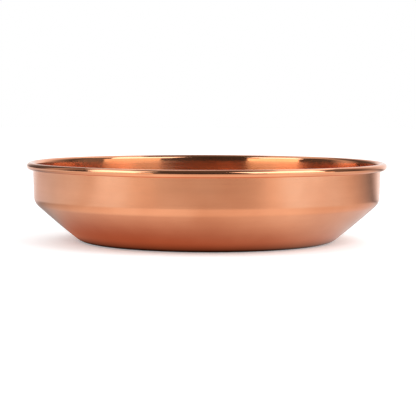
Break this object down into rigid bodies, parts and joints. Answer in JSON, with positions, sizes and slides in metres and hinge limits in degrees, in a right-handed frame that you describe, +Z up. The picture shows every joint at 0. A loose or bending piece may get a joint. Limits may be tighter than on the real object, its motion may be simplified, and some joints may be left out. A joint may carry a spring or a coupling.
{
  "type": "puja plate",
  "caption": "Round copper puja plate with a flat base, a tapering lower side, an upright wall and a wired edge, for holding offerings and water.",
  "frame": {"origin": "centre of the underside of the base", "axes": "+Z up along the axis of the dish; the plate is round, so X and Y are any two square directions"},
  "size_m": [0.2, 0.2, 0.0439],
  "materials": {
    "copper_sheet": "satin, buffed round the axis",
    "copper_wire": "drawn, unpolished"
  },
  "bodies": {
    "root": {"dish": "copper_sheet", "rim_wire": "copper_wire"}
  },
  "joints": []
}
